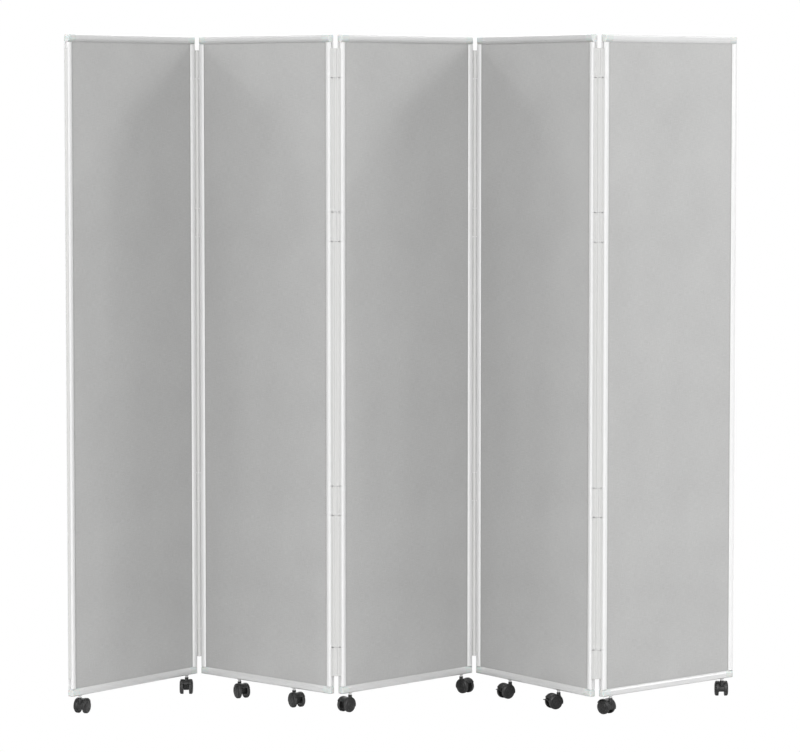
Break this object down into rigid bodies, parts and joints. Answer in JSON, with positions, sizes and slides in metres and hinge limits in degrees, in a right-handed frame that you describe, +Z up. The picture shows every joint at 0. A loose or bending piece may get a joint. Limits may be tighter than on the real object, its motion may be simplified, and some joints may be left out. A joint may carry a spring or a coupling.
{
  "type": "folding room divider on casters",
  "caption": "Free-standing concertina screen: tall fabric-faced panels in slim rounded frames, joined by full-height piano-style hinges and rolling on twin-wheel casters.",
  "frame": {"origin": "on the floor, under the middle of the divider's bounding box as it stands in its concertina fold", "axes": "+Z up; -Y is the side the divider is seen from, +X to the right of a viewer standing there; panel 1 is the leftmost"},
  "size_m": [1.8172, 0.4388, 1.825],
  "materials": {
    "fabric": "light grey woven polyester stretched over a rigid board",
    "satin_frame": "satin white-silver anodised profile",
    "hinge_grey": "light grey extruded hinge strip",
    "pin_steel": "drawn steel rod",
    "black_nylon": "moulded black nylon, fine texture"
  },
  "bodies": {
    "panel_1": {"panel_1_board": "fabric", "panel_1_left_stile": "satin_frame", "panel_1_right_stile": "satin_frame", "panel_1_top_rail": "satin_frame", "panel_1_bottom_rail": "satin_frame", "hinge_1_left_leaf": "hinge_grey", "hinge_1_pin": "pin_steel"},
    "panel_2": {"panel_2_board": "fabric", "panel_2_left_stile": "satin_frame", "panel_2_right_stile": "satin_frame", "panel_2_top_rail": "satin_frame", "panel_2_bottom_rail": "satin_frame", "hinge_1_right_leaf": "hinge_grey", "hinge_2_left_leaf": "hinge_grey", "hinge_2_pin": "pin_steel"},
    "panel_3": {"panel_3_board": "fabric", "panel_3_left_stile": "satin_frame", "panel_3_right_stile": "satin_frame", "panel_3_top_rail": "satin_frame", "panel_3_bottom_rail": "satin_frame", "hinge_2_right_leaf": "hinge_grey", "hinge_3_left_leaf": "hinge_grey", "hinge_3_pin": "pin_steel"},
    "panel_4": {"panel_4_board": "fabric", "panel_4_left_stile": "satin_frame", "panel_4_right_stile": "satin_frame", "panel_4_top_rail": "satin_frame", "panel_4_bottom_rail": "satin_frame", "hinge_3_right_leaf": "hinge_grey", "hinge_4_left_leaf": "hinge_grey", "hinge_4_pin": "pin_steel"},
    "panel_5": {"panel_5_board": "fabric", "panel_5_left_stile": "satin_frame", "panel_5_right_stile": "satin_frame", "panel_5_top_rail": "satin_frame", "panel_5_bottom_rail": "satin_frame", "hinge_4_right_leaf": "hinge_grey"},
    "caster_1_swivel": {"caster_1_housing": "black_nylon"},
    "caster_1_wheel_pair": {"caster_1_wheels": "black_nylon"},
    "caster_2_swivel": {"caster_2_housing": "black_nylon"},
    "caster_2_wheel_pair": {"caster_2_wheels": "black_nylon"},
    "caster_3_swivel": {"caster_3_housing": "black_nylon"},
    "caster_3_wheel_pair": {"caster_3_wheels": "black_nylon"},
    "caster_4_swivel": {"caster_4_housing": "black_nylon"},
    "caster_4_wheel_pair": {"caster_4_wheels": "black_nylon"},
    "caster_5_swivel": {"caster_5_housing": "black_nylon"},
    "caster_5_wheel_pair": {"caster_5_wheels": "black_nylon"},
    "caster_6_swivel": {"caster_6_housing": "black_nylon"},
    "caster_6_wheel_pair": {"caster_6_wheels": "black_nylon"},
    "caster_7_swivel": {"caster_7_housing": "black_nylon"},
    "caster_7_wheel_pair": {"caster_7_wheels": "black_nylon"},
    "caster_7_brake": {"caster_7_brake_lever": "black_nylon"},
    "caster_8_swivel": {"caster_8_housing": "black_nylon"},
    "caster_8_wheel_pair": {"caster_8_wheels": "black_nylon"},
    "caster_8_brake": {"caster_8_brake_lever": "black_nylon"},
    "caster_9_swivel": {"caster_9_housing": "black_nylon"},
    "caster_9_wheel_pair": {"caster_9_wheels": "black_nylon"},
    "caster_10_swivel": {"caster_10_housing": "black_nylon"},
    "caster_10_wheel_pair": {"caster_10_wheels": "black_nylon"}
  },
  "joints": [
    {"name": "fold_2", "type": "hinge", "parent": "panel_3", "child": "panel_2", "pos_m": [-0.18888, -0.15842, 0.938], "axis": [0, 0, 1], "range_deg": [-83.7, 91.3]},
    {"name": "fold_1", "type": "hinge", "parent": "panel_2", "child": "panel_1", "pos_m": [-0.57842, 0.20153, 0.938], "axis": [0, 0, 1], "range_deg": [-97.8, 82.2]},
    {"name": "fold_3", "type": "hinge", "parent": "panel_3", "child": "panel_4", "pos_m": [0.1911, 0.2116, 0.938], "axis": [0, 0, 1], "range_deg": [-73.7, 101.3]},
    {"name": "fold_4", "type": "hinge", "parent": "panel_4", "child": "panel_5", "pos_m": [0.51222, -0.21052, 0.938], "axis": [0, 0, 1], "range_deg": [-97.7, 82.3]},
    {"name": "swivel_1", "type": "hinge", "parent": "panel_1", "child": "caster_1_swivel", "pos_m": [-0.88016, -0.18086, 0.051], "axis": [0, 0, 1], "continuous": true},
    {"name": "roll_1", "type": "hinge", "parent": "caster_1_swivel", "child": "caster_1_wheel_pair", "pos_m": [-0.87454, -0.16695, 0.0195], "axis": [-0.9272, 0.3746, 0], "continuous": true},
    {"name": "swivel_2", "type": "hinge", "parent": "panel_1", "child": "caster_2_swivel", "pos_m": [-0.61233, 0.17326, 0.051], "axis": [0, 0, 1], "continuous": true},
    {"name": "roll_2", "type": "hinge", "parent": "caster_2_swivel", "child": "caster_2_wheel_pair", "pos_m": [-0.61233, 0.15826, 0.0195], "axis": [1, 0, 0], "continuous": true},
    {"name": "swivel_3", "type": "hinge", "parent": "panel_2", "child": "caster_3_swivel", "pos_m": [-0.46157, 0.0992, 0.051], "axis": [0, 0, 1], "continuous": true},
    {"name": "roll_3", "type": "hinge", "parent": "caster_3_swivel", "child": "caster_3_wheel_pair", "pos_m": [-0.45453, 0.08596, 0.0195], "axis": [0.8829, 0.4695, 0], "continuous": true},
    {"name": "swivel_4", "type": "hinge", "parent": "panel_2", "child": "caster_4_swivel", "pos_m": [-0.30573, -0.05609, 0.051], "axis": [0, 0, 1], "continuous": true},
    {"name": "roll_4", "type": "hinge", "parent": "caster_4_swivel", "child": "caster_4_wheel_pair", "pos_m": [-0.29823, -0.06908, 0.0195], "axis": [0.866, 0.5, 0], "continuous": true},
    {"name": "swivel_5", "type": "hinge", "parent": "panel_3", "child": "caster_5_swivel", "pos_m": [-0.15199, -0.13417, 0.051], "axis": [0, 0, 1], "continuous": true},
    {"name": "roll_5", "type": "hinge", "parent": "caster_5_swivel", "child": "caster_5_wheel_pair", "pos_m": [-0.16202, -0.14532, 0.0195], "axis": [0.7431, -0.6691, 0], "continuous": true},
    {"name": "swivel_6", "type": "hinge", "parent": "panel_3", "child": "caster_6_swivel", "pos_m": [0.15421, 0.18736, 0.051], "axis": [0, 0, 1], "continuous": true},
    {"name": "roll_6", "type": "hinge", "parent": "caster_6_swivel", "child": "caster_6_wheel_pair", "pos_m": [0.16535, 0.17732, 0.0195], "axis": [0.6691, 0.7431, 0], "continuous": true},
    {"name": "swivel_7", "type": "hinge", "parent": "panel_4", "child": "caster_7_swivel", "pos_m": [0.28841, 0.09054, 0.051], "axis": [0, 0, 1], "continuous": true},
    {"name": "roll_7", "type": "hinge", "parent": "caster_7_swivel", "child": "caster_7_wheel_pair", "pos_m": [0.27583, 0.08237, 0.0195], "axis": [0.5446, -0.8387, 0], "continuous": true},
    {"name": "brake_7", "type": "hinge", "parent": "caster_7_swivel", "child": "caster_7_brake", "pos_m": [0.26325, 0.0742, 0.024], "axis": [0.5446, -0.8387, 0], "range_deg": [0, 14]},
    {"name": "swivel_8", "type": "hinge", "parent": "panel_4", "child": "caster_8_swivel", "pos_m": [0.41491, -0.08945, 0.051], "axis": [0, 0, 1], "continuous": true},
    {"name": "roll_8", "type": "hinge", "parent": "caster_8_swivel", "child": "caster_8_wheel_pair", "pos_m": [0.40121, -0.09556, 0.0195], "axis": [0.4067, -0.9135, 0], "continuous": true},
    {"name": "brake_8", "type": "hinge", "parent": "caster_8_swivel", "child": "caster_8_brake", "pos_m": [0.3875, -0.10166, 0.024], "axis": [0.4067, -0.9135, 0], "range_deg": [0, 14]},
    {"name": "swivel_9", "type": "hinge", "parent": "panel_5", "child": "caster_9_swivel", "pos_m": [0.55056, -0.18864, 0.051], "axis": [0, 0, 1], "continuous": true},
    {"name": "roll_9", "type": "hinge", "parent": "caster_9_swivel", "child": "caster_9_wheel_pair", "pos_m": [0.53959, -0.17841, 0.0195], "axis": [-0.682, -0.7314, 0], "continuous": true},
    {"name": "swivel_10", "type": "hinge", "parent": "panel_5", "child": "caster_10_swivel", "pos_m": [0.87634, 0.11303, 0.051], "axis": [0, 0, 1], "continuous": true},
    {"name": "roll_10", "type": "hinge", "parent": "caster_10_swivel", "child": "caster_10_wheel_pair", "pos_m": [0.87634, 0.12803, 0.0195], "axis": [-1, 0, 0], "continuous": true}
  ]
}
